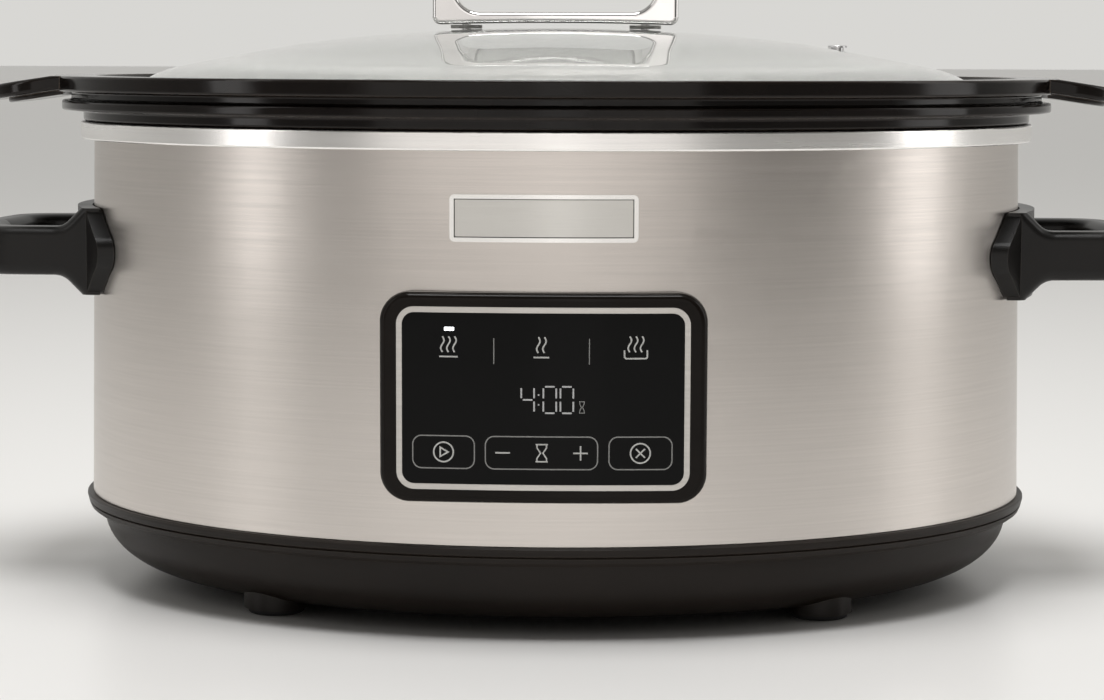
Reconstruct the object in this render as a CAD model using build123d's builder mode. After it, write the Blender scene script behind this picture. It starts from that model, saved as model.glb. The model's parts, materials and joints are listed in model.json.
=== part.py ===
from build123d import *
import os

# Slow cooker: an oval steel cooker with a plastic base, a lift-out stoneware pot and a glass lid.
# Frame: millimetres, +Z up, origin on the table under the centre, front of the cooker facing -Y.
# Every oval ring is drawn as a section (half width in X, height in Z), revolved about Z,
# and then narrowed in Y by the same ratio, so nested ovals stay concentric.

# ---- driving dimensions ----------------------------------------------------------------
oval = 0.78                 # depth of every oval over its width
foot_height = 2.0           # rubber showing below the base mouldings
base_floor = 4.0            # underside of the base pan
base_wall = 2.5             # moulded wall thickness
seam_height = 33.0          # top of the base ring, where the steel sleeve stands
sleeve_top = 171.0          # top edge of the steel sleeve, hidden by the rim trim
sleeve_width = 175.0        # half width of the sleeve at its top
sleeve_flare = 2.3          # how much wider the sleeve is at its bottom
sheet = 0.6                 # steel sleeve thickness
trim_bottom = 166.5         # lower lip of the silver rim trim
trim_top = 173.0            # the pot stands on this face
trim_width = 180.0          # half width of the rim trim
well_floor = 46.0           # underside of the heated well
well_wall = 0.8             # aluminised steel of the well
pot_floor = 49.0            # underside of the stoneware
pot_top = 190.0             # top of the stoneware rim
pot_width = 190.0           # half width of the stoneware rim
pot_reach = 213.0           # half width over the pot's two rim handles
pot_wall = 5.5              # stoneware thickness
lid_apex = 208.4            # top of the glass dome
lid_thickness = 4.0         # tempered glass
lift_gap = 0.3              # air between the pieces that lift off each other
handle_centre = 125.5       # height of the two side handles
handle_reach = 222.0        # half width over the side handles
grip_height = 18.0          # side handle grip, top to bottom
panel_centre = 84.0         # height of the control panel's centre
panel_width = 110.0
panel_height = 71.0
panel_front = 142.6         # how far the panel's middle stands forward of the centre
panel_bow = 420.0           # radius of the gently bowed panel face
badge_centre = 144.1        # height of the name plate's centre
badge_width = 63.2
badge_height = 15.9

# ---- dimensions worked out from them ----------------------------------------------------
sleeve_slope = sleeve_flare / (sleeve_top - seam_height)
grip_low = handle_centre - grip_height / 2
lid_seat = pot_top - 7.0
brim_bottom = lid_seat + lift_gap
handle_spots = [(-34.0, 0.0), (34.0, 0.0)]         # lid handle screws
foot_spots = [(x, y) for x in (-97, 97) for y in (-87, 87)]
post_spots = [(x, y) for x in (-70, 70) for y in (-62, 62)]
board_centre = (-62.0, 2.0)
board_spots = [(board_centre[0] + x, board_centre[1] + y) for x in (-38, 38) for y in (-28, 28)]

os.makedirs("parts", exist_ok=True)


def save(piece, name):
    piece.part.label = name
    export_step(piece.part, f"parts/{name}.step")


def sleeve_half_width(height):
    """Half width of the sleeve's outer face at a height."""
    return sleeve_width + sleeve_slope * (sleeve_top - height)


def turn_oval(section=None):
    """Revolve a section, or the pending one, about Z and narrow it to the oval."""
    revolve(section, axis=Axis.Z)
    scale(by=(1, oval, 1))


def oval_outline(half_width):
    """An ellipse with the cooker's proportions, added to the current sketch."""
    Ellipse(half_width, half_width * oval)


def oval_ring(outer, inner, low, high):
    """A straight-walled oval ring, used to keep what lies between two ovals."""
    with BuildPart(mode=Mode.PRIVATE) as ring:
        with BuildSketch(Plane.XY.offset(low)):
            Ellipse(outer, outer * oval)
            Ellipse(inner, inner * oval, mode=Mode.SUBTRACT)
        extrude(amount=high - low)
    return ring.part


def bowed_slab(front, back):
    """A slab between two upright cylinders that share the bow of the panel's face."""
    with BuildPart(mode=Mode.PRIVATE) as slab:
        with BuildSketch(Plane.XY):
            with Locations((0, panel_bow - panel_front)):
                Circle(panel_bow + front)
                Circle(panel_bow + back, mode=Mode.SUBTRACT)
        extrude(amount=sleeve_top)
    return slab.part


# ---- base pan: outer ring, bowl, foot bosses, posts for the electronics ------------------
bowl_flat = 143.0           # half width of the flat underside
bowl_side = 173.0           # half width of the bowl under the ring
ring_bottom = 26.2
ring_edge = 179.5
bowl_rise = 25.5 - base_floor
with BuildPart() as base_pan:
    with BuildSketch(Plane.XZ):
        with BuildLine():
            Line((0, base_floor), (bowl_flat, base_floor))
            EllipticalCenterArc((bowl_flat, base_floor + bowl_rise), bowl_side - bowl_flat, bowl_rise,
                                start_angle=270, arc_size=90)
            Polyline(
                (bowl_side, base_floor + bowl_rise), (bowl_side, ring_bottom), (176.3, ring_bottom),
                (178.2, 27.6), (178.9, 29.2), (178.3, 29.6), (179.1, 30.0), (ring_edge, 31.5),
                (ring_edge, seam_height - 0.6), (ring_edge - 0.6, seam_height), (175.9, seam_height),
                (175.9, 38.0), (174.2, 38.0), (174.2, 30.0), (bowl_side - base_wall, 28.0),
                (bowl_side - base_wall, base_floor + bowl_rise),
            )
            EllipticalCenterArc((bowl_flat, base_floor + bowl_rise), bowl_side - bowl_flat - base_wall,
                                bowl_rise - base_wall, start_angle=270, arc_size=90)
            Polyline((bowl_flat, base_floor + base_wall), (0, base_floor + base_wall), (0, base_floor))
        make_face()
    turn_oval()
    with BuildSketch(Plane.XY.offset(foot_height)):
        with Locations(foot_spots):
            Circle(11.5)
    extrude(amount=8)
    with BuildSketch(Plane.XY.offset(base_floor + 1)):
        with Locations(post_spots):
            Circle(6)
    extrude(amount=15)
    with BuildSketch(Plane.XY.offset(base_floor + 1)):
        with Locations(board_spots):
            Circle(3)
        Circle(10)
    extrude(amount=8)
    with BuildSketch(Plane.XZ.offset(-136.5)):
        with Locations((0, 16)):
            Circle(10)
    extrude(amount=12)
    with BuildSketch(Plane.XY):
        with Locations(foot_spots):
            Circle(10.2)
    extrude(amount=5, mode=Mode.SUBTRACT)
    with BuildSketch(Plane.XY):
        with Locations(post_spots):
            Circle(4.2)
        Circle(6)
    extrude(amount=10, mode=Mode.SUBTRACT)
    with BuildSketch(Plane.XY):
        with Locations(post_spots):
            Circle(2.1)
        Circle(2.8)
    extrude(amount=21, mode=Mode.SUBTRACT)
    with BuildSketch(Plane.XY.offset(8)):
        with Locations(board_spots):
            Circle(1.3)
    extrude(amount=6, mode=Mode.SUBTRACT)
    with BuildSketch(Plane.XZ.offset(-140)):
        with Locations((0, 16)):
            Circle(6.3)
    extrude(amount=20, mode=Mode.SUBTRACT)
    with BuildSketch(Plane.XY):
        with Locations((62, 0)):
            with GridLocations(9, 1, 7, 1):
                SlotOverall(36, 3.2, rotation=90)
    extrude(amount=8, mode=Mode.SUBTRACT)
save(base_pan, "base_pan")

# ---- rubber feet: pads pressed into the foot bosses --------------------------------------
with BuildPart() as feet:
    with BuildSketch(Plane.XY):
        with Locations(foot_spots):
            Circle(10)
    extrude(amount=5)
    fillet(feet.edges().group_by(Axis.Z)[0], radius=1)
save(feet, "feet")

# ---- steel sleeve: the brushed outer wall ------------------------------------------------
screw_y = 41.0
with BuildPart() as steel_housing:
    for skin, join in ((0, Mode.ADD), (sheet, Mode.SUBTRACT)):
        with BuildSketch(Plane.XY.offset(seam_height + 0.2)):
            oval_outline(sleeve_half_width(seam_height) - skin)
        with BuildSketch(Plane.XY.offset(sleeve_top)):
            oval_outline(sleeve_width - skin)
        loft(mode=join)
    with BuildSketch(Plane.XZ.offset(100)):
        with Locations((0, panel_centre)):
            RectangleRounded(93, 55, 5)
    extrude(amount=60, mode=Mode.SUBTRACT)
    with BuildSketch(Plane.YZ.offset(-190)):
        with Locations((screw_y, handle_centre), (-screw_y, handle_centre)):
            Circle(2.6)
    extrude(amount=380, mode=Mode.SUBTRACT)
save(steel_housing, "steel_housing")

# ---- rim trim: the silver cap ring over the top of sleeve and well ------------------------
with BuildPart() as rim_trim:
    with BuildSketch(Plane.XZ) as trim_section:
        with BuildLine():
            Polyline(
                (trim_width - 1.5, trim_bottom), (trim_width, trim_bottom), (trim_width, trim_top),
                (168.4, trim_top), (168.4, trim_top - 0.8), (trim_width - 0.9, trim_top - 0.8),
                (trim_width - 0.9, trim_bottom + 1.4), (trim_width - 1.5, trim_bottom + 1.2), close=True,
            )
        make_face()
        outer_corners = trim_section.vertices().filter_by_position(Axis.X, trim_width - 0.1, trim_width + 0.1)
        fillet(outer_corners, radius=0.7)
    turn_oval()
save(rim_trim, "rim_trim")

# ---- heated well: the drawn steel pan that the pot hangs in --------------------------------
well_mouth = 167.0          # half width at the flange
well_foot = 150.0           # half width above the bottom corner
well_flange = trim_top - 1.9
with BuildPart() as heating_well:
    with BuildSketch(Plane.XZ):
        with BuildLine():
            FilletPolyline(
                (0, well_floor), (well_foot, well_floor), (well_mouth, well_flange),
                (trim_width - 2.2, well_flange), radius=2,
            )
            offset(amount=well_wall, side=Side.LEFT)
        make_face()
    turn_oval()
save(heating_well, "heating_well")


def well_half_width(height):
    """Half width of the well's outer face at a height on its sloping side."""
    return well_foot + (height - well_floor) * (well_mouth - well_foot) / (well_flange - well_floor)


def wrapped_band(low, high, inner_gap, outer_gap):
    """Section of a band that lies against the well's sloping side."""
    with BuildSketch(Plane.XZ) as band:
        with BuildLine():
            Polyline(
                (well_half_width(low) + inner_gap, low), (well_half_width(low) + outer_gap, low),
                (well_half_width(high) + outer_gap, high), (well_half_width(high) + inner_gap, high),
                close=True,
            )
        make_face()
    return band.sketch


# ---- heater band: wrap-around element, split at the back where it is drawn tight -----------
band_gap = 12.0
with BuildPart() as heater_band:
    turn_oval(wrapped_band(66, 100, 0.3, 2.3))
    with BuildSketch(Plane.XZ.offset(-90)):
        with Locations((0, 83)):
            Rectangle(band_gap, 50)
    extrude(amount=-60, mode=Mode.SUBTRACT)
save(heater_band, "heater_band")

# ---- insulation: glass fibre felt around the heater band -----------------------------------
with BuildPart() as insulation_wrap:
    turn_oval(wrapped_band(63, 104, 2.6, 5.4))
    with BuildSketch(Plane.XZ.offset(-90)):
        with Locations((0, 83)):
            Rectangle(band_gap + 14, 60)
    extrude(amount=-60, mode=Mode.SUBTRACT)
save(insulation_wrap, "insulation_wrap")

# ---- band springs: two coil springs that pull the band's ends together ----------------------
spring_y = well_half_width(83) * oval + 4.6
with BuildPart() as band_springs:
    with BuildSketch(Plane.YZ.offset(-11)):
        with Locations((spring_y, 74), (spring_y, 92)):
            Circle(1.9)
            Circle(1.3, mode=Mode.SUBTRACT)
    extrude(amount=22)
save(band_springs, "band_springs")

# ---- heat shield under the well, its spacers, and the central stud and nut ------------------
shield_bottom = 40.0
with BuildPart() as heat_shield:
    with BuildSketch(Plane.XY.offset(shield_bottom)):
        oval_outline(128)
        Circle(4, mode=Mode.SUBTRACT)
        with GridLocations(60, 70, 2, 2):
            SlotOverall(30, 8, mode=Mode.SUBTRACT)
    extrude(amount=0.8)
save(heat_shield, "heat_shield")

with BuildPart() as shield_posts:
    with BuildSketch(Plane.XY.offset(base_floor + 16)):
        with Locations(post_spots):
            RegularPolygon(4.4, 6)
            Circle(2.05, mode=Mode.SUBTRACT)
    extrude(amount=shield_bottom - base_floor - 16)
save(shield_posts, "shield_posts")

with BuildPart() as base_screws:
    with BuildSketch(Plane.XY.offset(7.4)):
        with Locations(post_spots):
            Circle(3.8)
    extrude(amount=2.6)
    with BuildSketch(Plane.XY.offset(10)):
        with Locations(post_spots):
            Circle(2)
    extrude(amount=22)
    with BuildSketch(Plane.XY.offset(7.4)):
        with Locations(post_spots):
            Rectangle(4.4, 0.9)
            Rectangle(0.9, 4.4)
    extrude(amount=1.4, mode=Mode.SUBTRACT)
save(base_screws, "base_screws")

with BuildPart() as centre_stud:
    with BuildSketch(Plane.XY.offset(base_floor + 0.6)):
        Circle(2.5)
    extrude(amount=well_floor - base_floor - 0.6)
save(centre_stud, "centre_stud")

with BuildPart() as centre_nut:
    with BuildSketch(Plane.XY.offset(base_floor + 1.8)):
        RegularPolygon(4.6, 6)
        Circle(2.55, mode=Mode.SUBTRACT)
    extrude(amount=4.2)
save(centre_nut, "centre_nut")

# ---- power board and what stands on it ------------------------------------------------------
board_bottom = base_floor + 9
board_top = board_bottom + 1.6
with BuildPart() as power_board:
    with BuildSketch(Plane.XY.offset(board_bottom)):
        with Locations(board_centre):
            RectangleRounded(86, 66, 2)
        with Locations(board_spots):
            Circle(1.6, mode=Mode.SUBTRACT)
    extrude(amount=board_top - board_bottom)
save(power_board, "power_board")

with BuildPart() as board_screws:
    with BuildSketch(Plane.XY.offset(board_top)):
        with Locations(board_spots):
            Circle(2.6)
    extrude(amount=1.6)
    with BuildSketch(Plane.XY.offset(8.5)):
        with Locations(board_spots):
            Circle(1.2)
    extrude(amount=board_top - 8.5)
save(board_screws, "board_screws")


def board_block(spot, size, edge):
    """A component body standing on the power board, its top edges softened."""
    with BuildPart() as block:
        with BuildSketch(Plane.XY.offset(board_top)):
            with Locations((board_centre[0] + spot[0], board_centre[1] + spot[1])):
                Rectangle(size[0], size[1])
        extrude(amount=size[2])
        fillet(block.edges().group_by(Axis.Z)[-1], radius=edge)
    return block


save(board_block((-18, 14), (19, 15.5, 15.8), 0.6), "relay")
save(board_block((14, 10), (28, 24, 17), 1.5), "transformer")
save(board_block((-18, -12), (18, 8.5, 14.5), 1.0), "filter_capacitor")

with BuildPart() as terminal_block:
    with BuildSketch(Plane.XY.offset(board_top)):
        with Locations((board_centre[0] + 12, board_centre[1] - 22)):
            Rectangle(30, 10)
    extrude(amount=11)
    with BuildSketch(Plane.XY.offset(board_top + 11)):
        with Locations((board_centre[0] + 12, board_centre[1] - 22)):
            with GridLocations(10, 1, 3, 1):
                Circle(2.2)
    extrude(amount=-6, mode=Mode.SUBTRACT)
save(terminal_block, "terminal_block")

# ---- thermal fuse, its clip and the temperature sensor, all against the well's floor ---------
with BuildPart() as thermal_fuse:
    with BuildSketch(Plane.YZ.offset(24)):
        with Locations((26, well_floor - 2.4)):
            Circle(2.2)
    extrude(amount=13)
    with BuildSketch(Plane.YZ.offset(12)):
        with Locations((26, well_floor - 2.4)):
            Circle(0.5)
    extrude(amount=37)
save(thermal_fuse, "thermal_fuse")

with BuildPart() as fuse_clip:
    with BuildSketch(Plane.YZ.offset(28)):
        with Locations((26, well_floor - 2.4)):
            Circle(2.75)
            Circle(2.3, mode=Mode.SUBTRACT)
            with Locations((0, 2.55)):
                Rectangle(8, 0.7, mode=Mode.SUBTRACT)
        with Locations((31.6, well_floor - 0.35), (20.4, well_floor - 0.35)):
            Rectangle(8, 0.5)
    extrude(amount=5)
save(fuse_clip, "fuse_clip")

with BuildPart() as temperature_sensor:
    with BuildSketch(Plane.XY.offset(well_floor - 4.6)):
        with Locations((34, -30)):
            RectangleRounded(16, 9, 2)
    extrude(amount=4.5)
    with BuildSketch(Plane.XY.offset(well_floor - 4.6)):
        with Locations((38.5, -30)):
            Circle(1.6)
    extrude(amount=4.5, mode=Mode.SUBTRACT)
save(temperature_sensor, "temperature_sensor")

# ---- wiring held inside: two heater leads and the panel's ribbon ------------------------------
lead_height = board_top + 11.4
with BuildPart() as heater_leads:
    for side in (-1, 1):
        route = [
            (board_centre[0] + 12 + side * 10, board_centre[1] - 22, lead_height),
            (board_centre[0] + 12 + side * 10, board_centre[1] - 22, lead_height + 7),
            (side * 12 - 6, 112, lead_height + 7),
            (side * 12, 129, 48),
            (side * 12, 129, 70),
        ]
        with BuildLine():
            path = FilletPolyline(*route, radius=5)
        with BuildSketch(Plane(origin=route[0], z_dir=path % 0)):
            Circle(1.2)
        sweep(path=path)
save(heater_leads, "heater_leads")

ribbon_x = -30.0
with BuildPart() as panel_ribbon:
    ribbon_route = [(ribbon_x, -131.3, 66), (ribbon_x, -131.3, 44), (ribbon_x, -104, 19.5),
                    (ribbon_x, board_centre[1] - 31, 19.5)]
    with BuildLine():
        ribbon_path = FilletPolyline(*ribbon_route, radius=6)
    with BuildSketch(Plane(origin=ribbon_route[0], x_dir=(1, 0, 0), z_dir=(0, 0, -1))):
        Rectangle(14, 0.8)
    sweep(path=ribbon_path)
save(panel_ribbon, "panel_ribbon")

# ---- control panel: bezel, silver border, dark lens -------------------------------------------
border_width, border_height = 98.5, 61.6
border_line = 1.9
lens_width = border_width - 2 * border_line
lens_height = border_height - 2 * border_line


def panel_block(width, height, corner):
    """A rounded block through the panel, long enough for any bow."""
    with BuildPart(mode=Mode.PRIVATE) as block:
        with BuildSketch(Plane.XZ.offset(100)):
            with Locations((0, panel_centre)):
                RectangleRounded(width, height, corner)
        extrude(amount=60)
    return block.part


with BuildPart() as panel_bezel:
    add(panel_block(panel_width, panel_height, 10))
    add(bowed_slab(0, -60), mode=Mode.INTERSECT)
    fillet(panel_bezel.edges().filter_by_position(Axis.Y, -panel_front - 1, -137), radius=2.6)
    with BuildSketch(Plane.XY):
        oval_outline(sleeve_half_width(panel_centre - panel_height / 2) + 0.1)
    extrude(amount=sleeve_top, mode=Mode.SUBTRACT)
    add(panel_block(lens_width, lens_height, 4.1), mode=Mode.SUBTRACT)
with BuildPart() as border_seat:
    add(panel_block(border_width + 0.1, border_height + 0.1, 6))
    add(bowed_slab(5, -1.0), mode=Mode.INTERSECT)
panel_bezel.part = panel_bezel.part - border_seat.part
save(panel_bezel, "panel_bezel")

with BuildPart() as panel_border:
    add(panel_block(border_width, border_height, 6))
    add(panel_block(lens_width, lens_height, 4.1), mode=Mode.SUBTRACT)
    add(bowed_slab(0.15, -0.9), mode=Mode.INTERSECT)
save(panel_border, "panel_border")

with BuildPart() as panel_lens:
    add(panel_block(lens_width - 0.1, lens_height - 0.1, 4))
    add(bowed_slab(-0.1, -2.6), mode=Mode.INTERSECT)
save(panel_lens, "panel_lens")

# ---- panel tray behind the bezel, with the display board and its parts --------------------------
tray_back = 128.5
tray_front = 136.6
tray_floor = tray_back + 1.5
board_back = 133.6
board_front = 135.0
panel_screw_spots = [(x, panel_centre + z) for x in (-40, 40) for z in (-21, 21)]
with BuildPart() as panel_tray:
    with BuildSketch(Plane.XZ.offset(tray_back)):
        with Locations((0, panel_centre)):
            RectangleRounded(90, 52, 4)
    extrude(amount=tray_front - tray_back)
    with BuildSketch(Plane.XZ.offset(tray_floor)):
        with Locations((0, panel_centre)):
            RectangleRounded(87, 49, 2.5)
    extrude(amount=20, mode=Mode.SUBTRACT)
    with BuildSketch(Plane.XZ.offset(tray_floor - 0.5)):
        with Locations(panel_screw_spots):
            Circle(2.4)
    extrude(amount=board_back - tray_floor + 0.5)
    with BuildSketch(Plane.XZ.offset(tray_floor)):
        with Locations(panel_screw_spots):
            Circle(1.1)
    extrude(amount=10, mode=Mode.SUBTRACT)
    with BuildSketch(Plane.XY.offset(panel_centre - 30)):
        with Locations((ribbon_x, -131.3)):
            Rectangle(16, 2.2)
    extrude(amount=8, mode=Mode.SUBTRACT)
save(panel_tray, "panel_tray")

with BuildPart() as display_board:
    with BuildSketch(Plane.XZ.offset(board_back)):
        with Locations((0, panel_centre)):
            RectangleRounded(86, 48, 2)
        with Locations(panel_screw_spots):
            Circle(1.3, mode=Mode.SUBTRACT)
    extrude(amount=board_front - board_back)
save(display_board, "display_board")

with BuildPart() as panel_screws:
    with BuildSketch(Plane.XZ.offset(board_front)):
        with Locations(panel_screw_spots):
            Circle(2)
    extrude(amount=1.1)
    with BuildSketch(Plane.XZ.offset(tray_floor + 0.3)):
        with Locations(panel_screw_spots):
            Circle(1)
    extrude(amount=board_front - tray_floor - 0.3)
save(panel_screws, "panel_screws")


def on_board(spots, size, depth, edge):
    """Small blocks standing forward from the display board."""
    with BuildPart() as blocks:
        with BuildSketch(Plane.XZ.offset(board_front)):
            with Locations(spots):
                RectangleRounded(size[0], size[1], edge)
        extrude(amount=depth)
    return blocks


mode_x = (-31.6, -0.4, 31.0)            # the three cooking modes across the panel
key_x = (-33.3, -13.3, -0.4, 12.8, 32.8)  # start, minus, timer, plus, cancel
mode_height = 106.5
key_height = 65.3
save(on_board([(2, 88)], (27, 13), 4.2, 0.8), "display_module")
save(on_board([(x, mode_height) for x in mode_x], (4, 2), 1.6, 0.3), "status_leds")

with BuildPart() as touch_springs:
    with BuildSketch(Plane.XZ.offset(board_front)):
        with Locations([(x, key_height) for x in key_x]):
            Circle(3)
            Circle(2.3, mode=Mode.SUBTRACT)
    extrude(amount=1.9)
save(touch_springs, "touch_springs")

with BuildPart() as panel_chip:
    with BuildSketch(Plane.XZ.offset(board_back)):
        with Locations((14, 84)):
            RectangleRounded(10, 10, 0.5)
    extrude(amount=-1.6)
save(panel_chip, "panel_chip")

# ---- name plate: a blank plate with a raised border, curved to the sleeve -------------------------
badge_seat = sleeve_half_width(badge_centre - badge_height / 2) + 0.1
with BuildPart() as badge_plate:
    with BuildSketch(Plane.XZ.offset(100)):
        with Locations((0, badge_centre)):
            RectangleRounded(badge_width, badge_height, 1.7)
    extrude(amount=60)
    add(oval_ring(badge_seat + 1.6, badge_seat, 100, 160), mode=Mode.INTERSECT)
with BuildPart(mode=Mode.PRIVATE) as badge_field:
    with BuildSketch(Plane.XZ.offset(100)):
        with Locations((0, badge_centre)):
            RectangleRounded(badge_width - 3, badge_height - 3, 0.9)
    extrude(amount=60)
    add(oval_ring(badge_seat + 10, badge_seat + 0.9, 100, 160), mode=Mode.INTERSECT)
badge_plate.part = badge_plate.part - badge_field.part
save(badge_plate, "badge_plate")

# ---- side handles: a shield-shaped foot on the sleeve and a loop to lift by -------------------------
foot_inner = sleeve_half_width(handle_centre - 17) + 0.1
foot_outer = foot_inner + 5.5
foot_half = 63.0            # half length of the shield, front to back
foot_rise = 16.0            # half height of the shield
flare_start = 174.0         # where the arms begin to narrow, going outwards
flare_end = 181.0           # where they reach the height of the grip
with BuildPart() as shield:
    with BuildSketch(Plane.YZ.offset(120)) as shield_outline:
        with BuildLine():
            Polyline(
                (-foot_half, handle_centre), (-46, handle_centre + foot_rise),
                (46, handle_centre + foot_rise), (foot_half, handle_centre),
                (46, handle_centre - foot_rise), (-46, handle_centre - foot_rise), close=True,
            )
        make_face()
        tips = shield_outline.vertices().filter_by_position(Axis.Z, handle_centre - 1, handle_centre + 1)
        fillet(shield_outline.vertices() - tips, radius=8)
        fillet(tips, radius=5)
    extrude(amount=80)
    add(oval_ring(foot_outer, foot_inner, 90, 160), mode=Mode.INTERSECT)

with BuildPart() as right_handle:
    with BuildSketch(Plane.XZ.offset(70)) as grip_side:
        with BuildLine():
            Polyline(
                (150, handle_centre + foot_rise), (flare_start, handle_centre + foot_rise),
                (flare_end, grip_low + grip_height), (handle_reach, grip_low + grip_height),
                (handle_reach, grip_low), (flare_end, grip_low),
                (flare_start, handle_centre - foot_rise), (150, handle_centre - foot_rise), close=True,
            )
        make_face()
        flare = grip_side.vertices().filter_by_position(Axis.X, flare_end - 0.1, flare_end + 0.1)
        fillet(flare, radius=8)
    extrude(amount=-140)
    with BuildSketch(Plane.XY.offset(90)) as grip_plan:
        with BuildLine():
            Polyline(
                (150, -47), (foot_outer - 12, -47), (handle_reach - 6, -44), (handle_reach, 0),
                (handle_reach - 6, 44), (foot_outer - 12, 47), (150, 47), close=True,
            )
        make_face()
        outer_bend = grip_plan.vertices().filter_by_position(Axis.X, handle_reach - 7, handle_reach - 5)
        fillet(outer_bend, radius=18)
        fillet(grip_plan.vertices().filter_by_position(Axis.Y, -1, 1), radius=160)
        with BuildSketch(mode=Mode.SUBTRACT) as finger_gap:
            with BuildLine():
                Polyline(
                    (150, -35), (handle_reach - 17, -31), (handle_reach - 12.5, 0),
                    (handle_reach - 17, 31), (150, 35), close=True,
                )
            make_face()
            gap_bend = finger_gap.vertices().filter_by_position(Axis.X, handle_reach - 18, handle_reach - 16)
            fillet(gap_bend, radius=10)
    extrude(amount=70, mode=Mode.INTERSECT)
    rims = right_handle.edges().filter_by_position(Axis.Z, grip_low - 0.1, grip_low + 0.1)
    rims += right_handle.edges().filter_by_position(Axis.Z, grip_low + grip_height - 0.1,
                                                    grip_low + grip_height + 0.1)
    fillet(rims.filter_by_position(Axis.X, flare_end + 5, handle_reach + 1), radius=4)
    with BuildSketch(Plane.XY.offset(90)):
        oval_outline(foot_inner + 1)
    extrude(amount=70, mode=Mode.SUBTRACT)
    add(shield.part)
    with BuildSketch(Plane.YZ.offset(150)):
        with Locations((screw_y, handle_centre), (-screw_y, handle_centre)):
            Circle(2.05)
    extrude(amount=42, mode=Mode.SUBTRACT)
save(right_handle, "right_handle")

with BuildPart() as left_handle:
    mirror(right_handle.part, about=Plane.YZ)
save(left_handle, "left_handle")

# ---- handle brackets: curved plates inside the sleeve, and the screws through them -------------------
bracket_outer = sleeve_half_width(handle_centre + 14) - sheet - 0.3
bracket_inner = bracket_outer - 1.5
with BuildPart() as handle_brackets:
    with BuildSketch(Plane.YZ.offset(-190)):
        with Locations((0, handle_centre)):
            RectangleRounded(104, 22, 4)
    extrude(amount=380)
    add(oval_ring(bracket_outer, bracket_inner, 100, 150), mode=Mode.INTERSECT)
    with BuildSketch(Plane.YZ.offset(-190)):
        with Locations((screw_y, handle_centre), (-screw_y, handle_centre)):
            Circle(2.6)
    extrude(amount=380, mode=Mode.SUBTRACT)
save(handle_brackets, "handle_brackets")

screw_head = 162.0
with BuildPart() as handle_screws:
    for side in (-1, 1):
        with BuildSketch(Plane(origin=(side * screw_head, 0, handle_centre), x_dir=(0, 1, 0),
                               z_dir=(side, 0, 0))):
            with Locations((screw_y, 0), (-screw_y, 0)):
                Circle(2)
        extrude(amount=28)
        with BuildSketch(Plane(origin=(side * screw_head, 0, handle_centre), x_dir=(0, 1, 0),
                               z_dir=(side, 0, 0))):
            with Locations((screw_y, 0), (-screw_y, 0)):
                Circle(3.8)
        extrude(amount=-2.4)
save(handle_screws, "handle_screws")

# ---- cord gland: the flanged bush at the back where a mains lead goes in ------------------------------
gland_height = 16.0
gland_bore = 3.6
with BuildPart() as cord_gland:
    with BuildSketch(Plane.XZ.offset(-139.5)):
        with Locations((0, gland_height)):
            Circle(9)
    extrude(amount=2.9)
    with BuildSketch(Plane.XZ.offset(-139.5)):
        with Locations((0, gland_height)):
            Circle(6.2)
    extrude(amount=17)
    fillet(cord_gland.edges().group_by(Axis.Y)[-1], radius=1)
    with BuildSketch(Plane.XZ.offset(-141)):
        with Locations((0, gland_height)):
            Circle(gland_bore)
    extrude(amount=22, mode=Mode.SUBTRACT)
save(cord_gland, "cord_gland")

# ---- cooking pot: glazed stoneware with a stepped rim and two rim handles ------------------------------
pot_neck = 179.0
pot_mouth = 165.0           # outside half width under the rim
pot_base = 146.0            # outside half width at the floor
rim_underside = pot_top - 5.7
neck_foot = trim_top + lift_gap
lid_recess = 172.5
rim_droop = 0.15            # fall of the rim handles over their length


def rim_handle_plates(reach, breadth, corner, root_height, thickness, softness):
    """Two plates that leave the ends of the pot's rim and droop towards their tips."""
    start = pot_width - 3
    rise = rim_droop * 25
    fall = rim_droop * (reach - start)
    with BuildPart(mode=Mode.PRIVATE) as plates:
        for side in (-1, 1):
            with BuildSketch(Plane.XZ.offset(-60)):
                with BuildLine():
                    Polyline(
                        (side * (start - 25), root_height + rise), (side * reach, root_height - fall),
                        (side * reach, root_height - fall - thickness),
                        (side * (start - 25), root_height + rise - thickness), close=True,
                    )
                make_face()
            extrude(amount=120)
        with BuildSketch(Plane.XY.offset(150)):
            RectangleRounded(2 * reach, breadth, corner)
        extrude(amount=60, mode=Mode.INTERSECT)
        tips = plates.edges().filter_by(lambda edge: abs(edge.center().X) > reach - 1 and edge.length > 8)
        fillet(tips, radius=softness)
        with BuildSketch(Plane.XY.offset(150)):
            oval_outline(start)
        extrude(amount=60, mode=Mode.SUBTRACT)
        with BuildSketch(Plane.XY.offset(pot_top - 0.1)):
            Rectangle(2 * reach, breadth)
        extrude(amount=10, mode=Mode.SUBTRACT)
    return plates.part


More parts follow.
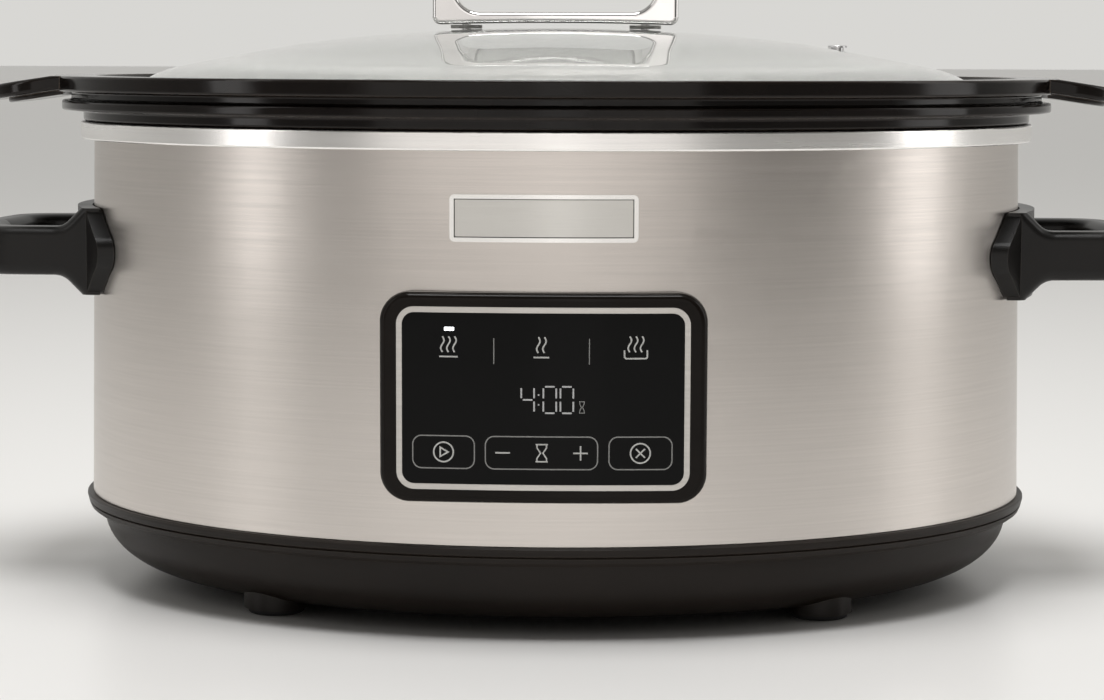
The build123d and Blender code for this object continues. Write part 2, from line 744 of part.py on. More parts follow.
with BuildPart() as cooking_pot:
    with BuildSketch(Plane.XZ) as pot_section:
        with BuildLine():
            Polyline(
                (0, pot_floor), (pot_base, pot_floor), (pot_mouth, neck_foot), (pot_neck, neck_foot),
                (pot_neck, 177.3), (187, 177.3), (187, 181), (183.5, 181), (183.5, rim_underside),
                (pot_width, rim_underside), (pot_width, pot_top), (lid_recess + 2, pot_top),
                (lid_recess, pot_top - 2.5), (lid_recess, lid_seat), (pot_mouth - 3.5, lid_seat),
                (pot_base - pot_wall, pot_floor + pot_wall), (0, pot_floor + pot_wall), close=True,
            )
        make_face()
        corners = pot_section.vertices()
        fillet(corners.filter_by_position(Axis.X, 177, pot_width), radius=0.9)
        fillet(corners.filter_by_position(Axis.X, pot_base - 1, pot_base + 1)
               .filter_by_position(Axis.Y, pot_floor - 1, pot_floor + 1), radius=16)
        fillet(corners.filter_by_position(Axis.X, pot_base - pot_wall - 1, pot_base - pot_wall + 1),
               radius=22)
    turn_oval()
    add(rim_handle_plates(pot_reach, 92, 26, pot_top - 0.5, 5.4, 1.4))
    add(rim_handle_plates(pot_reach - 7, 70, 20, rim_underside + 1.2, 3.2, 0.9))
save(cooking_pot, "cooking_pot")

# ---- glass lid: shallow oval dome with a flat brim -------------------------------------------------------
dome_base = lid_apex - 41.0
dome_width = 182.0
brim_edge = 171.6
brim_top = brim_bottom + 3.6
dome_edge = 155.0


def dome_height(half_width, inset):
    """Height of the dome's outer face, or of its inner face when inset is the thickness."""
    ratio = half_width / (dome_width - inset)
    return dome_base + (lid_apex - dome_base - inset) * (1 - ratio ** 2) ** 0.5


with BuildPart() as lid_glass:
    with BuildSketch(Plane.XZ):
        with BuildLine():
            outer_points = [(x, dome_height(x, 0)) for x in (0, 60, 100, 130, dome_edge)]
            inner_points = [(x, dome_height(x, lid_thickness)) for x in (0, 60, 100, 130, dome_edge)]
            Spline(*outer_points, tangents=[(1, 0), (1, -0.62)])
            Spline(outer_points[-1], (160.5, brim_top + 0.15), (163.5, brim_top),
                   tangents=[(1, -0.62), (1, 0)])
            Polyline((163.5, brim_top), (brim_edge - 0.8, brim_top), (brim_edge, brim_top - 0.8),
                     (brim_edge, brim_bottom + 0.8), (brim_edge - 0.8, brim_bottom),
                     (159.5, brim_bottom), inner_points[-1])
            Spline(*inner_points, tangents=[(1, 0), (1, -0.55)])
            Line(inner_points[0], outer_points[0])
        make_face()
    turn_oval()
    vent_spot = (107.0, 0.0)
    with BuildSketch(Plane.XY.offset(150)):
        with Locations(handle_spots):
            Circle(2.6)
        with Locations(vent_spot):
            Circle(2.5)
    extrude(amount=80, mode=Mode.SUBTRACT)
save(lid_glass, "lid_glass")

# ---- lid handle: a chromed stirrup standing on two silicone pads -------------------------------------------
stirrup_half = 46.5
stirrup_top = 250.0
bar_bottom = 209.4
bar_thickness = 4.8
post_width = 8.6
with BuildPart() as lid_handle:
    with BuildSketch(Plane.XZ.offset(9)) as stirrup:
        with BuildLine():
            ThreePointArc((-stirrup_half, bar_bottom), (0, bar_bottom + 0.8), (stirrup_half, bar_bottom))
            Polyline((stirrup_half, bar_bottom), (stirrup_half, stirrup_top),
                     (-stirrup_half, stirrup_top), (-stirrup_half, bar_bottom))
        make_face()
        fillet(stirrup.vertices().group_by(Axis.Y)[-1], radius=14)
        fillet(stirrup.vertices().group_by(Axis.Y)[0], radius=3)
        with Locations((0, (bar_bottom + bar_thickness + stirrup_top - 7) / 2)):
            RectangleRounded(2 * (stirrup_half - post_width), stirrup_top - 7 - bar_bottom - bar_thickness,
                             9.5, mode=Mode.SUBTRACT)
    extrude(amount=-18)
    fillet(lid_handle.edges().group_by(Axis.Y)[0] + lid_handle.edges().group_by(Axis.Y)[-1], radius=1.8)
    with BuildSketch(Plane.XY.offset(200)):
        with Locations(handle_spots):
            Circle(1.7)
    extrude(amount=12.4, mode=Mode.SUBTRACT)
save(lid_handle, "lid_handle")

pad_low = dome_height(28, 0) + 0.15
pad_high = bar_bottom - 0.05
washer_high = dome_height(41, lid_thickness) - 0.15
with BuildPart() as handle_pads:
    with BuildSketch(Plane.XY.offset(pad_low)):
        with Locations(handle_spots):
            Circle(6)
            Circle(2.2, mode=Mode.SUBTRACT)
    extrude(amount=pad_high - pad_low)
save(handle_pads, "handle_pads")

with BuildPart() as handle_washers:
    with BuildSketch(Plane.XY.offset(washer_high - 1.2)):
        with Locations(handle_spots):
            Circle(6.5)
            Circle(2.2, mode=Mode.SUBTRACT)
    extrude(amount=1.2)
save(handle_washers, "handle_washers")

with BuildPart() as lid_screws:
    with BuildSketch(Plane.XY.offset(washer_high - 3.6)):
        with Locations(handle_spots):
            Circle(3.8)
    extrude(amount=2.4)
    with BuildSketch(Plane.XY.offset(washer_high - 1.2)):
        with Locations(handle_spots):
            Circle(1.65)
    extrude(amount=bar_bottom + 2.6 - washer_high + 1.2)
save(lid_screws, "lid_screws")

# ---- steam vent: a small steel eyelet through the glass ------------------------------------------------------
vent_top = dome_height(vent_spot[0] - 3.6, 0) + 0.1
vent_low = dome_height(vent_spot[0] + 3.6, lid_thickness) - 0.3
with BuildPart() as steam_vent:
    with BuildSketch(Plane.XY.offset(vent_low)):
        with Locations(vent_spot):
            Circle(2.4)
    extrude(amount=vent_top - vent_low + 0.1)
    with BuildSketch(Plane.XY.offset(vent_top)):
        with Locations(vent_spot):
            Circle(3.6)
    extrude(amount=0.8)
    fillet(steam_vent.edges().group_by(Axis.Z)[-1], radius=0.35)
    with BuildSketch(Plane.XY.offset(vent_low)):
        with Locations(vent_spot):
            Circle(1.6)
    extrude(amount=20, mode=Mode.SUBTRACT)
save(steam_vent, "steam_vent")
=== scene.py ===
import json
import math

import bmesh
import bpy
from mathutils import Matrix, Vector


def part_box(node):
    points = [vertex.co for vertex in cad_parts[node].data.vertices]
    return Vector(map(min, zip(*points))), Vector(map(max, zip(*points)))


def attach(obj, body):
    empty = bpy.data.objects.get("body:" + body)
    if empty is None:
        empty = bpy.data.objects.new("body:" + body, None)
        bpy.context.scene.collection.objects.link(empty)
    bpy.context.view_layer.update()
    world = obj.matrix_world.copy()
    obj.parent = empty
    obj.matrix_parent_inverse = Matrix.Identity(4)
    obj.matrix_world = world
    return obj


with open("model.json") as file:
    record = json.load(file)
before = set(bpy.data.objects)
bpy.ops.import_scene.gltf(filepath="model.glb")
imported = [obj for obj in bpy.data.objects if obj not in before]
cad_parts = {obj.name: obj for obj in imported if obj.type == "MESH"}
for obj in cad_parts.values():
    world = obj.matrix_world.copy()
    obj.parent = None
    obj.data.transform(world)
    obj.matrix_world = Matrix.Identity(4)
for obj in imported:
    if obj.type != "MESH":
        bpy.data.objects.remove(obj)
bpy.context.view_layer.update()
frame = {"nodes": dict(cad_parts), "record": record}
nodes = frame["nodes"]
slot_of = {part["node"]: part["material_slot"] for part in frame["record"]["subparts"]}
MM = 0.001

# ---- sizes read from the frame ------------------------------------------------------------
lens_low, lens_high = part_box("panel_lens")
sleeve_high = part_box("steel_housing")[1]
LENS_FRONT = lens_low.y                     # the middle of the lens, the furthest forward
PANEL_BOW = 420 * MM                        # radius of the lens's gentle bow
PANEL_X = (lens_low.x + lens_high.x) / 2
PANEL_Z = (lens_low.z + lens_high.z) / 2
OVAL = sleeve_high.y / sleeve_high.x        # depth over width of the cooker's ovals


# ---- camera: where the photographer stood -------------------------------------------------
def add_camera():
    """A long lens one metre in front, a little right of centre, tipped down six degrees."""
    place = Vector((0.0289, -1.05, 0.200))
    yaw, pitch, roll = -0.0285, 0.109, 0.0034
    ahead = Vector((math.sin(yaw) * math.cos(pitch), math.cos(yaw) * math.cos(pitch), -math.sin(pitch)))
    level = Vector((math.cos(yaw), -math.sin(yaw), 0))
    upward = level.cross(ahead)
    right = level * math.cos(roll) + upward * math.sin(roll)
    up = upward * math.cos(roll) - level * math.sin(roll)
    data = bpy.data.cameras.new("camera")
    data.lens = 89.4
    data.sensor_width = 36
    data.clip_end = 100
    camera = bpy.data.objects.new("camera", data)
    bpy.context.scene.collection.objects.link(camera)
    camera.matrix_world = Matrix((
        (right.x, up.x, -ahead.x, place.x),
        (right.y, up.y, -ahead.y, place.y),
        (right.z, up.z, -ahead.z, place.z),
        (0, 0, 0, 1),
    ))
    bpy.context.scene.camera = camera


add_camera()
bpy.context.scene.view_settings.view_transform = "Standard"


# ---- studio: pale floor, soft boxes -------------------------------------------------------
def add_softbox(name, place, aim, width, height, radiance, colour=(1, 1, 1), reflected_only=True):
    """A soft box of even brightness; most of them show only in reflections."""
    data = bpy.data.lights.new(name, "AREA")
    data.shape = "RECTANGLE"
    data.size = width
    data.size_y = height
    data.energy = radiance * math.pi * width * height
    data.color = colour
    light = bpy.data.objects.new(name, data)
    bpy.context.scene.collection.objects.link(light)
    light.location = place
    light.rotation_euler = (Vector(aim) - Vector(place)).to_track_quat("-Z", "Y").to_euler()
    light.visible_camera = False
    light.visible_diffuse = not reflected_only


def add_sky():
    """A room that is bright behind and above the cooker and dim in front of it."""
    world = bpy.data.worlds.new("studio")
    world.use_nodes = True
    tree = world.node_tree
    background = tree.nodes["Background"]
    background.inputs["Strength"].default_value = 0.78
    facing = tree.nodes.new("ShaderNodeTexCoord")
    weigh = tree.nodes.new("ShaderNodeVectorMath")
    weigh.operation = "DOT_PRODUCT"
    weigh.inputs[1].default_value = (0, 0.5, 0.22)
    lift = tree.nodes.new("ShaderNodeMath")
    lift.inputs[1].default_value = 0.5
    ramp = tree.nodes.new("ShaderNodeValToRGB")
    ramp.color_ramp.elements[0].position = 0.28
    ramp.color_ramp.elements[0].color = (0.13, 0.125, 0.12, 1)
    ramp.color_ramp.elements[1].position = 0.80
    ramp.color_ramp.elements[1].color = (0.88, 0.87, 0.84, 1)
    tree.links.new(facing.outputs["Generated"], weigh.inputs[0])
    tree.links.new(weigh.outputs["Value"], lift.inputs[0])
    tree.links.new(lift.outputs[0], ramp.inputs["Fac"])
    tree.links.new(ramp.outputs["Color"], background.inputs["Color"])
    bpy.context.scene.world = world


def add_studio():
    add_sky()
    add_softbox("top_box", (0.0, -0.35, 1.9), (0, 0, 0.1), 1.0, 0.75, 12.0, reflected_only=False)
    add_softbox("left_strip", (-1.60, -0.83, 0.70), (0, 0, 0.12), 0.32, 1.7, 2.6, (1.0, 0.98, 0.97))
    add_softbox("right_box", (1.78, -0.20, 0.70), (0, 0, 0.12), 0.55, 1.7, 2.0, (1.0, 0.98, 0.97))
    add_softbox("front_wall", (-0.20, -2.9, 0.85), (0, 0, 0.20), 3.60, 1.9, 0.78, (1.0, 0.96, 0.93))
    add_softbox("front_strip", (0.06, -2.5, 0.80), (0, 0, 0.12), 0.34, 1.7, 0.45, (1.0, 0.98, 0.97))


def add_floor():
    mesh = bpy.data.meshes.new("floor")
    reach = 30.0
    corners = [(-reach, -reach, 0), (reach, -reach, 0), (reach, reach, 0), (-reach, reach, 0)]
    mesh.from_pydata(corners, [], [(0, 1, 2, 3)])
    floor = bpy.data.objects.new("floor", mesh)
    bpy.context.scene.collection.objects.link(floor)
    paint = bpy.data.materials.new("floor_paint")
    paint.use_nodes = True
    shader = paint.node_tree.nodes["Principled BSDF"]
    shader.inputs["Base Color"].default_value = (0.80, 0.79, 0.775, 1)
    shader.inputs["Roughness"].default_value = 0.30
    shader.inputs["Specular IOR Level"].default_value = 0.18
    mesh.materials.append(paint)


add_studio()
add_floor()


# ---- material building blocks ---------------------------------------------------------------
class Surface:
    """A principled material with short ways to add variation, grain and bump."""

    def __init__(self, name, colour, roughness, metallic=0.0):
        self.material = bpy.data.materials.new(name)
        self.material.use_nodes = True
        self.tree = self.material.node_tree
        self.shader = self.tree.nodes["Principled BSDF"]
        self.set("Base Color", (*colour, 1))
        self.set("Roughness", roughness)
        self.set("Metallic", metallic)
        self.colour = colour
        self.roughness = roughness
        self.place = self.node("ShaderNodeTexCoord").outputs["Object"]

    def set(self, socket, value):
        self.shader.inputs[socket].default_value = value

    def node(self, kind, **settings):
        made = self.tree.nodes.new(kind)
        for key, value in settings.items():
            setattr(made, key, value)
        return made

    def link(self, start, end):
        self.tree.links.new(start, end)

    def maths(self, operation, a, b=None):
        made = self.node("ShaderNodeMath", operation=operation)
        for socket, value in zip(made.inputs, (a, b)):
            if isinstance(value, (int, float)):
                socket.default_value = value
            elif value is not None:
                self.link(value, socket)
        return made.outputs[0]

    def stretched(self, scale):
        """Object coordinates multiplied along each axis."""
        made = self.node("ShaderNodeMapping")
        made.inputs["Scale"].default_value = scale
        self.link(self.place, made.inputs["Vector"])
        return made.outputs[0]

    def around(self, turns, rise):
        """Coordinates that run round the oval and up it, for grain brushed round the body."""
        split = self.node("ShaderNodeSeparateXYZ")
        self.link(self.place, split.inputs[0])
        forward = self.maths("DIVIDE", split.outputs["Y"], -OVAL)
        angle = self.maths("ARCTAN2", split.outputs["X"], forward)
        joined = self.node("ShaderNodeCombineXYZ")
        self.link(self.maths("MULTIPLY", angle, turns), joined.inputs["X"])
        self.link(self.maths("MULTIPLY", split.outputs["Z"], rise), joined.inputs["Y"])
        return joined.outputs[0]

    def noise(self, where, detail=4.0, rough=0.55):
        made = self.node("ShaderNodeTexNoise")
        made.inputs["Scale"].default_value = 1.0
        made.inputs["Detail"].default_value = detail
        made.inputs["Roughness"].default_value = rough
        self.link(where, made.inputs["Vector"])
        return made.outputs["Fac"]

    def ramp(self, factor, low, high, start=0.3, end=0.7):
        made = self.node("ShaderNodeValToRGB")
        made.color_ramp.elements[0].position = start
        made.color_ramp.elements[0].color = low
        made.color_ramp.elements[1].position = end
        made.color_ramp.elements[1].color = high
        self.link(factor, made.inputs["Fac"])
        return made.outputs["Color"]

    def vary_colour(self, factor, spread):
        """The base colour drifts darker and lighter by a share of itself."""
        low = tuple(c * (1 - spread) for c in self.colour)
        high = tuple(min(1, c * (1 + spread)) for c in self.colour)
        self.link(self.ramp(factor, (*low, 1), (*high, 1)), self.shader.inputs["Base Color"])

    def vary_roughness(self, factor, spread):
        """The roughness drifts by the spread either side of its own value."""
        low, high = self.roughness - spread, self.roughness + spread
        grey = self.ramp(factor, (low, low, low, 1), (high, high, high, 1))
        self.link(grey, self.shader.inputs["Roughness"])

    def bump(self, height, strength, distance):
        made = self.node("ShaderNodeBump")
        made.inputs["Strength"].default_value = strength
        made.inputs["Distance"].default_value = distance
        self.link(height, made.inputs["Height"])
        self.link(made.outputs["Normal"], self.shader.inputs["Normal"])

    def worn_edges(self, lighter, width):
        """Edges rub lighter, over a base colour that is already linked.

        A wide bevel normal compared with the true one finds the edges.
        """
        bevel = self.node("ShaderNodeBevel", samples=4)
        bevel.inputs["Radius"].default_value = width
        true = self.node("ShaderNodeNewGeometry").outputs["Normal"]
        dot = self.node("ShaderNodeVectorMath", operation="DOT_PRODUCT")
        self.link(bevel.outputs[0], dot.inputs[0])
        self.link(true, dot.inputs[1])
        edge = self.ramp(dot.outputs["Value"], (1, 1, 1, 1), (0, 0, 0, 1), 0.90, 0.995)
        mix = self.node("ShaderNodeMix", data_type="RGBA")
        socket = self.shader.inputs["Base Color"]
        self.link(socket.links[0].from_socket, mix.inputs[6])
        mix.inputs[7].default_value = (*lighter, 1)
        self.link(edge, mix.inputs[0])
        self.link(mix.outputs[2], socket)


# ---- materials --------------------------------------------------------------------------------
def brushed_sleeve():
    s = Surface("brushed_sleeve", (0.63, 0.59, 0.555), 0.24, 1.0)
    fine = s.noise(s.around(2.4, 1500), detail=5, rough=0.6)
    s.vary_colour(fine, 0.05)
    s.vary_roughness(s.noise(s.around(1.6, 420), detail=4), 0.015)
    s.bump(fine, 0.015, 0.00002)
    s.set("Anisotropic", 0.85)
    tangent = s.node("ShaderNodeTangent", direction_type="RADIAL", axis="Z")
    s.link(tangent.outputs[0], s.shader.inputs["Tangent"])
    return s.material


def satin_trim():
    s = Surface("satin_trim", (0.93, 0.915, 0.895), 0.26, 1.0)
    fine = s.noise(s.around(3.0, 1300), detail=4)
    s.vary_colour(fine, 0.03)
    s.vary_roughness(s.noise(s.around(2, 300)), 0.03)
    s.bump(fine, 0.04, 0.00002)
    return s.material


def plastic(name, colour, roughness, grain, lighter, specular=0.5):
    """Moulded plastic: spark-eroded grain, slow gloss drift and rubbed edges."""
    s = Surface(name, colour, roughness)
    s.set("Specular IOR Level", specular)
    slow = s.noise(s.stretched((18, 18, 18)), detail=3)
    s.vary_colour(slow, 0.18)
    s.vary_roughness(slow, 0.06)
    s.bump(s.noise(s.stretched((grain, grain, grain)), detail=2), 0.12, 0.00008)
    s.worn_edges(lighter, 0.0008)
    return s.material


def gloss_black(name, colour, roughness):
    """Polished black: faint wipe marks in the gloss and hardly any relief."""
    s = Surface(name, colour, roughness)
    s.set("Specular IOR Level", 0.12)
    wiped = s.noise(s.stretched((22, 22, 60)), detail=5, rough=0.6)
    s.vary_colour(wiped, 0.25)
    s.vary_roughness(wiped, 0.03)
    s.bump(s.noise(s.stretched((9, 9, 9)), detail=2), 0.03, 0.0004)
    return s.material


def stoneware_glaze():
    s = Surface("stoneware_glaze", (0.008, 0.006, 0.005), 0.13)
    s.set("Specular IOR Level", 0.22)
    ripple = s.noise(s.stretched((26, 26, 26)), detail=3)
    s.vary_colour(ripple, 0.35)
    s.vary_roughness(s.noise(s.stretched((70, 70, 70)), detail=4), 0.05)
    s.bump(ripple, 0.10, 0.0006)
    s.worn_edges((0.10, 0.075, 0.058), 0.0008)
    return s.material


def metal(name, colour, roughness, grain=900, spread=0.06):
    s = Surface(name, colour, roughness, 1.0)
    fine = s.noise(s.stretched((grain * 0.05, grain * 0.05, grain)), detail=4)
    s.vary_colour(fine, spread)
    s.vary_roughness(s.noise(s.stretched((40, 40, 40)), detail=3), min(0.04, roughness * 0.6))
    s.bump(fine, 0.05, 0.00003)
    return s.material


BADGE_BORDER = 1.5 * MM             # width of the name plate's raised border, painted bright as a highlight


def name_plate():
    """A satin plate inside a border painted bright as a highlight, with a painted shadow line between
    them.
    """
    s = Surface("badge_metal", (0.90, 0.89, 0.87), 0.22, 1.0)
    low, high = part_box("badge_plate")
    split = s.node("ShaderNodeSeparateXYZ")
    s.link(s.place, split.inputs[0])
    reach = []
    for axis, start, end in (("X", low.x, high.x), ("Z", low.z, high.z)):
        offset = s.maths("SUBTRACT", split.outputs[axis], (start + end) / 2)
        reach.append(s.maths("SUBTRACT", s.maths("ABSOLUTE", offset), (end - start) / 2 - BADGE_BORDER))
    edge = s.maths("MULTIPLY", s.maths("MAXIMUM", reach[0], reach[1]), 1 / MM)
    # painted highlight: the border is painted brighter than the middle of the plate
    painted_border_highlight = s.ramp(edge, (0.64, 0.63, 0.60, 1), (0.95, 0.94, 0.92, 1), 0.02, 0.10)
    from_line = s.maths("ABSOLUTE", s.maths("ADD", edge, 0.12))
    # painted shadow: a dark line where the border meets the middle of the plate
    painted_shadow_line = s.ramp(from_line, (0.10, 0.10, 0.09, 1), (1, 1, 1, 1), 0.10, 0.20)
    fine = s.noise(s.stretched((60, 60, 1500)), detail=4)
    mix = s.node("ShaderNodeMix", data_type="RGBA", blend_type="MULTIPLY")
    mix.inputs[0].default_value = 1
    s.link(painted_border_highlight, mix.inputs[6])
    s.link(painted_shadow_line, mix.inputs[7])
    worn = s.node("ShaderNodeMix", data_type="RGBA", blend_type="MULTIPLY")
    worn.inputs[0].default_value = 1
    s.link(mix.outputs[2], worn.inputs[6])
    s.link(s.ramp(fine, (0.93, 0.93, 0.93, 1), (1, 1, 1, 1)), worn.inputs[7])
    s.link(worn.outputs[2], s.shader.inputs["Base Color"])
    s.vary_roughness(fine, 0.04)
    s.bump(fine, 0.04, 0.00003)
    return s.material


def chrome():
    s = Surface("handle_chrome", (0.80, 0.79, 0.78), 0.055, 1.0)
    marks = s.noise(s.stretched((60, 60, 60)), detail=5)
    s.vary_colour(marks, 0.03)
    s.vary_roughness(marks, 0.025)
    s.bump(s.noise(s.stretched((20, 20, 20)), detail=2), 0.02, 0.0003)
    return s.material


def glass():
    s = Surface("lid_glass", (0.93, 0.94, 0.91), 0.02)
    s.set("Transmission Weight", 0.74)
    s.set("IOR", 1.50)
    s.set("Coat Weight", 0.5)
    s.set("Coat Roughness", 0.02)
    drift = s.noise(s.stretched((14, 14, 14)), detail=2)
    s.vary_colour(drift, 0.012)
    s.vary_roughness(drift, 0.008)
    s.bump(drift, 0.04, 0.0006)
    return s.material


def cloth(name, colour, weave):
    """Glass fibre: level bands of thread, one above the other."""
    s = Surface(name, colour, 0.85)
    bands = s.node("ShaderNodeTexWave", wave_type="BANDS", bands_direction="Z")
    bands.inputs["Scale"].default_value = weave
    s.link(s.place, bands.inputs["Vector"])
    s.vary_colour(bands.outputs["Fac"], 0.18)
    s.bump(bands.outputs["Fac"], 0.4, 0.0003)
    s.set("Sheen Weight", 0.3)
    return s.material


def silicone():
    s = Surface("clear_silicone", (0.75, 0.75, 0.72), 0.35)
    s.set("Transmission Weight", 0.4)
    s.vary_colour(s.noise(s.stretched((90, 90, 90))), 0.06)
    s.vary_roughness(s.noise(s.stretched((200, 200, 200))), 0.06)
    return s.material


def printed(name, colour, glow=0.0):
    """Screen-printed ink on the lens, faintly uneven."""
    s = Surface(name, colour, 0.45)
    s.vary_colour(s.noise(s.stretched((900, 900, 900)), detail=3), 0.10)
    if glow:
        s.set("Emission Color", (*colour, 1))
        s.set("Emission Strength", glow)
    return s.material


MATERIALS = {
    "base_plastic": plastic(
        "base_plastic", (0.017, 0.0125, 0.0098), 0.38, 1500, (0.036, 0.028, 0.022), 0.2),
    "foot_rubber": plastic("foot_rubber", (0.018, 0.018, 0.018), 0.75, 900, (0.04, 0.04, 0.04), 0.3),
    "brushed_sleeve": brushed_sleeve(),
    "satin_trim": satin_trim(),
    "well_steel": metal("well_steel", (0.55, 0.55, 0.54), 0.42, 300, 0.12),
    "heater_wrap": cloth("heater_wrap", (0.55, 0.52, 0.45), 120),
    "felt": cloth("felt", (0.80, 0.78, 0.72), 60),
    "spring_steel": metal("spring_steel", (0.60, 0.60, 0.60), 0.30, 600, 0.10),
    "circuit_board": plastic("circuit_board", (0.03, 0.16, 0.07), 0.35, 400, (0.05, 0.22, 0.10)),
    "component_black": plastic("component_black", (0.025, 0.025, 0.025), 0.45, 900, (0.06, 0.06, 0.06)),
    "component_yellow": plastic("component_yellow", (0.62, 0.42, 0.08), 0.5, 300, (0.75, 0.55, 0.2)),
    "component_blue": plastic("component_blue", (0.05, 0.12, 0.38), 0.25, 300, (0.1, 0.2, 0.5)),
    "component_white": plastic("component_white", (0.78, 0.78, 0.75), 0.5, 500, (0.85, 0.85, 0.83)),
    "sensor_aluminium": metal("sensor_aluminium", (0.70, 0.70, 0.70), 0.38, 500),
    "lead_sleeve": cloth("lead_sleeve", (0.75, 0.70, 0.58), 400),
    "ribbon_grey": plastic("ribbon_grey", (0.42, 0.42, 0.43), 0.5, 600, (0.5, 0.5, 0.5)),
    "bezel_gloss": gloss_black("bezel_gloss", (0.010, 0.0075, 0.006), 0.14),
    "border_silver": metal("border_silver", (0.56, 0.54, 0.51), 0.32, 900),
    "lens_black": gloss_black("lens_black", (0.002, 0.002, 0.002), 0.06),
    "badge_metal": name_plate(),
    "handle_plastic": plastic(
        "handle_plastic", (0.008, 0.007, 0.0062), 0.34, 1300, (0.028, 0.024, 0.02), 0.28),
    "gland_rubber": plastic("gland_rubber", (0.02, 0.02, 0.02), 0.6, 700, (0.05, 0.05, 0.05), 0.3),
    "stoneware_glaze": stoneware_glaze(),
    "lid_glass": glass(),
    "handle_chrome": chrome(),
    "clear_silicone": silicone(),
}
PRINT_PALE = printed("print_pale", (0.62, 0.62, 0.60))
PRINT_GREY = printed("print_grey", (0.30, 0.30, 0.29))
DISPLAY_GLOW = printed("display_glow", (0.42, 0.42, 0.42), 0.25)
LED_GLOW = printed("led_glow", (0.95, 0.97, 1.0), 6.0)

for name, item in nodes.items():
    item.data.materials.clear()
    item.data.materials.append(MATERIALS[slot_of[name]])


# ---- printed signs on the lens -------------------------------------------------------------------
INK = 0.05 * MM


def lens_point(x, z, lift):
    """A point on the bowed lens face: x and z in millimetres from the lens's centre."""
    across = x * MM
    back = PANEL_BOW - math.sqrt(PANEL_BOW ** 2 - across ** 2)
    return Vector((PANEL_X + across, LENS_FRONT + back - lift, PANEL_Z + z * MM))


def finely_divided(points, closed):
    """The same line with no leg longer than 2 mm, so that it follows the bowed lens."""
    made = []
    for i, start in enumerate(points):
        end = points[(i + 1) % len(points)]
        made.append(start)
        if closed or i < len(points) - 1:
            legs = max(1, math.ceil(math.dist(start, end) / 2))
            made += [(start[0] + (end[0] - start[0]) * k / legs, start[1] + (end[1] - start[1]) * k / legs)
                     for k in range(1, legs)]
    return made


def add_stroke(mesh, points, width, closed=False):
    """A raised line of ink along points on the lens, with mitred corners."""
    flat = [Vector(p) for p in finely_divided(points, closed)]
    count = len(flat)
    rails = []
    for i, here in enumerate(flat):
        before = flat[i - 1] if closed or i else None
        after = flat[(i + 1) % count] if closed or i < count - 1 else None
        into = (here - before).normalized() if before is not None else None
        out = (after - here).normalized() if after is not None else None
        into = into if into is not None else out
        out = out if out is not None else into
        side = (Vector((-into.y, into.x)) + Vector((-out.y, out.x))).normalized()
        reach = width / 2 / max(0.35, side.dot(Vector((-into.y, into.x))))
        rails.append((here + side * reach, here - side * reach))
    rings = []
    for left, right in rails:
        rings.append([mesh.verts.new(lens_point(p.x, p.y, lift))
                      for p, lift in ((left, INK), (right, INK), (right, -INK), (left, -INK))])
    for i in range(count if closed else count - 1):
        a, b = rings[i], rings[(i + 1) % count]
        for k in range(4):
            mesh.faces.new((a[k], a[(k + 1) % 4], b[(k + 1) % 4], b[k]))
    if not closed:
        mesh.faces.new(rings[0][::-1])
        mesh.faces.new(rings[-1])


def arc(centre, radius, start, end, steps):
    """Points on a circle, angles in degrees."""
    turn = [math.radians(start + (end - start) * i / steps) for i in range(steps + 1)]
    return [(centre[0] + radius * math.cos(t), centre[1] + radius * math.sin(t)) for t in turn]


def rounded_box(left, right, low, high, radius):
    corners = [((right - radius, high - radius), 0), ((left + radius, high - radius), 90),
               ((left + radius, low + radius), 180), ((right - radius, low + radius), 270)]
    return [p for centre, start in corners for p in arc(centre, radius, start, start + 90, 8)]


def wave(x, low, high):
    """One rising heat wave."""
    steps = 16
    return [(x - 0.55 * math.sin(2 * math.pi * i / steps), low + (high - low) * i / steps)
            for i in range(steps + 1)]


def hourglass(x, z, width, height):
    half, rise, neck = width / 2, height / 2, width * 0.10
    left = [(x - half * 0.78, z + rise), (x - half * 0.78, z + rise * 0.62), (x - neck, z),
            (x - half * 0.78, z - rise * 0.62), (x - half * 0.78, z - rise)]
    right = [(2 * x - p[0], p[1]) for p in left]
    caps = [[(x - half, end), (x + half, end)] for end in (z + rise, z - rise)]
    return [left, right, *caps]


def add_print(name, material, strokes):
    """One printed layer: strokes are (points, width, closed)."""
    shape = bmesh.new()
    for points, width, closed in strokes:
        add_stroke(shape, points, width, closed)
    bmesh.ops.recalc_face_normals(shape, faces=shape.faces)
    data = bpy.data.meshes.new(name)
    shape.to_mesh(data)
    shape.free()
    data.materials.append(material)
    piece = bpy.data.objects.new(name, data)
    bpy.context.scene.collection.objects.link(piece)
    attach(piece, "housing")


MODE_X = (-31.6, -0.5, 31.0)        # high, low, warm
WAVE_LOW, WAVE_HIGH = 15.6, 20.9
WAVE_PITCH = 2.05
UNDERLINE = 14.1
LIGHT_Z = 23.4                      # the lit mark above the chosen mode
SIGN = 0.52                         # width of a sign's stroke
KEY_LOW, KEY_HIGH = -23.6, -12.6
KEYS = ((-43.7, -22.9), (-19.2, 18.4), (22.2, 43.3))
SIGN_Z = (KEY_LOW + KEY_HIGH) / 2
KEY_CORNER = 3.0
DIVIDER_X = (-16.4, 15.5)           # upright lines between the three modes
DIVIDER_LOW, DIVIDER_HIGH = 11.8, 20.4


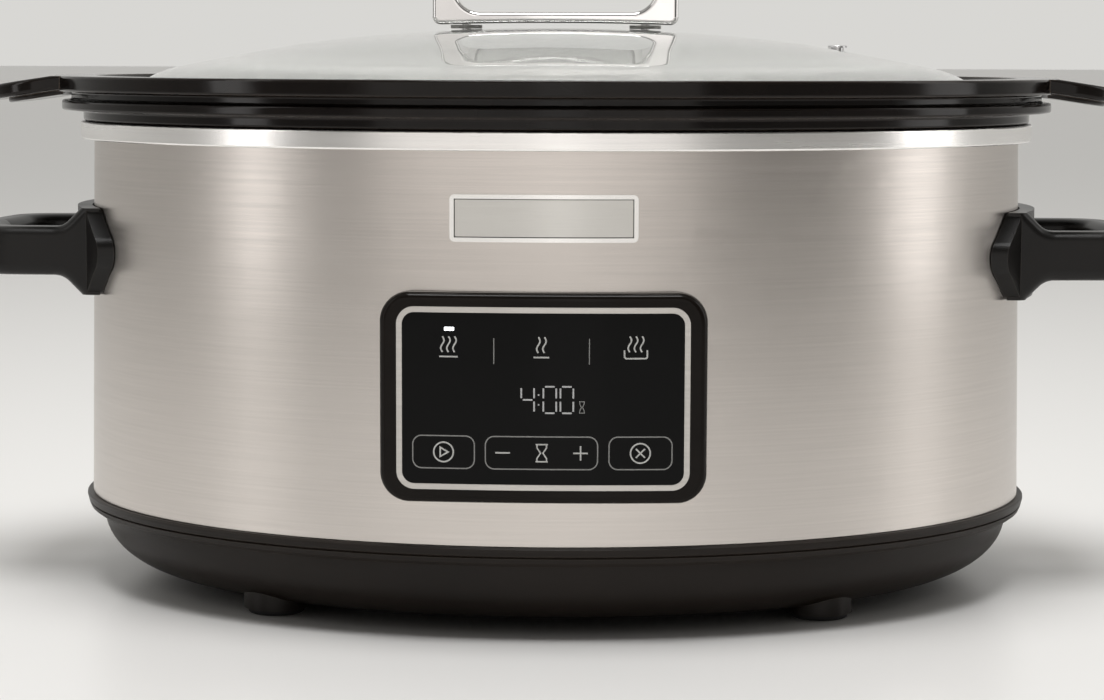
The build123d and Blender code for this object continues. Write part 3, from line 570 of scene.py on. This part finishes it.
def heat_signs():
    """Waves over a line for high and low, and over a tray for warm."""
    strokes = []
    for x, count, lift in zip(MODE_X, (3, 2, 3), (0, 0, 0.35)):
        for i in range(count):
            across = x + (i - (count - 1) / 2) * WAVE_PITCH
            strokes.append((wave(across, WAVE_LOW + lift, WAVE_HIGH + lift), SIGN, False))
    for x, half in zip(MODE_X, (3.1, 2.6)):
        strokes.append(([(x - half, UNDERLINE), (x + half, UNDERLINE)], SIGN, False))
    x, side, top, corner, bend = MODE_X[2], 3.8, 16.6, 14.5, 0.7
    tray = arc((x - 3.1, corner), bend, 180, 270, 5) + arc((x + 3.1, corner), bend, 270, 360, 5)
    strokes.append(([(x - side, top), *tray, (x + side, top)], SIGN, False))
    return strokes


def key_signs():
    """Ringed start and cancel signs, minus, plus and the timer's hourglass."""
    play, minus, timer, plus, cancel = -33.3, -13.4, -0.3, 12.7, 32.7
    tip, bar, slash = 1.55, 2.45, 1.5
    strokes = [(arc((x, SIGN_Z), 3.3, 0, 354, 40), SIGN, True) for x in (play, cancel)]
    triangle = [(play - 1.1, SIGN_Z + tip), (play + tip, SIGN_Z), (play - 1.1, SIGN_Z - tip)]
    strokes.append((triangle, SIGN, True))
    for x in (minus, plus):
        strokes.append(([(x - bar, SIGN_Z), (x + bar, SIGN_Z)], SIGN, False))
    strokes.append(([(plus, SIGN_Z - bar), (plus, SIGN_Z + bar)], SIGN, False))
    for rise in (-slash, slash):
        line = [(cancel - slash, SIGN_Z - rise), (cancel + slash, SIGN_Z + rise)]
        strokes.append((line, SIGN, False))
    strokes += [(line, 0.45, False) for line in hourglass(timer, SIGN_Z, 4.1, 5.8)]
    return strokes


def key_outlines():
    """Rounded frames round the three touch keys, and the dividers between the modes."""
    strokes = [(rounded_box(left, right, KEY_LOW, KEY_HIGH, KEY_CORNER), 0.40, True)
               for left, right in KEYS]
    strokes += [([(x, DIVIDER_LOW), (x, DIVIDER_HIGH)], 0.32, False) for x in DIVIDER_X]
    return strokes


SEGMENTS = {"0": "abcdef", "4": "bcfg"}      # lit bars, in the usual lettering
SEGMENT = 0.55                      # width of a lit bar, and the gap left at a corner


def digit_strokes(digit, x, low, width, height):
    """The lit bars of one seven-segment digit, whose left edge is at x."""
    gap, mid, high, right = SEGMENT, low + height / 2, low + height, x + width
    bars = {
        "a": [(x + gap, high), (right - gap, high)], "g": [(x + gap, mid), (right - gap, mid)],
        "d": [(x + gap, low), (right - gap, low)],
        "f": [(x, mid + gap), (x, high - gap)], "b": [(right, mid + gap), (right, high - gap)],
        "e": [(x, low + gap), (x, mid - gap)], "c": [(right, low + gap), (right, mid - gap)],
    }
    return [(bars[s], SEGMENT, False) for s in SEGMENTS[digit]]


def display_strokes():
    """Three digits and the dots of the colon after the first."""
    low, height, width = -4.6, 8.9, 4.3
    strokes = []
    for digit, x in (("4", -7.2), ("0", 0.2), ("0", 5.9)):
        strokes += digit_strokes(digit, x, low, width, height)
    strokes += [([(-1.65, z), (-1.15, z)], 0.5, False) for z in (low + 2.8, low + 6.1)]
    return strokes


add_print("mode_signs", PRINT_PALE, heat_signs())
add_print("key_signs", PRINT_PALE, key_signs())
add_print("key_outlines", PRINT_GREY, key_outlines())
add_print("display_digits", DISPLAY_GLOW, display_strokes())
timer_sign = [(line, 0.28, False) for line in hourglass(13.1, -2.6, 1.9, 3.8)]
add_print("display_timer_sign", PRINT_GREY, timer_sign)
light_line = [(MODE_X[0] - 1.4, LIGHT_Z), (MODE_X[0] + 1.8, LIGHT_Z)]
add_print("mode_light", LED_GLOW, [(light_line, 1.15, False)])
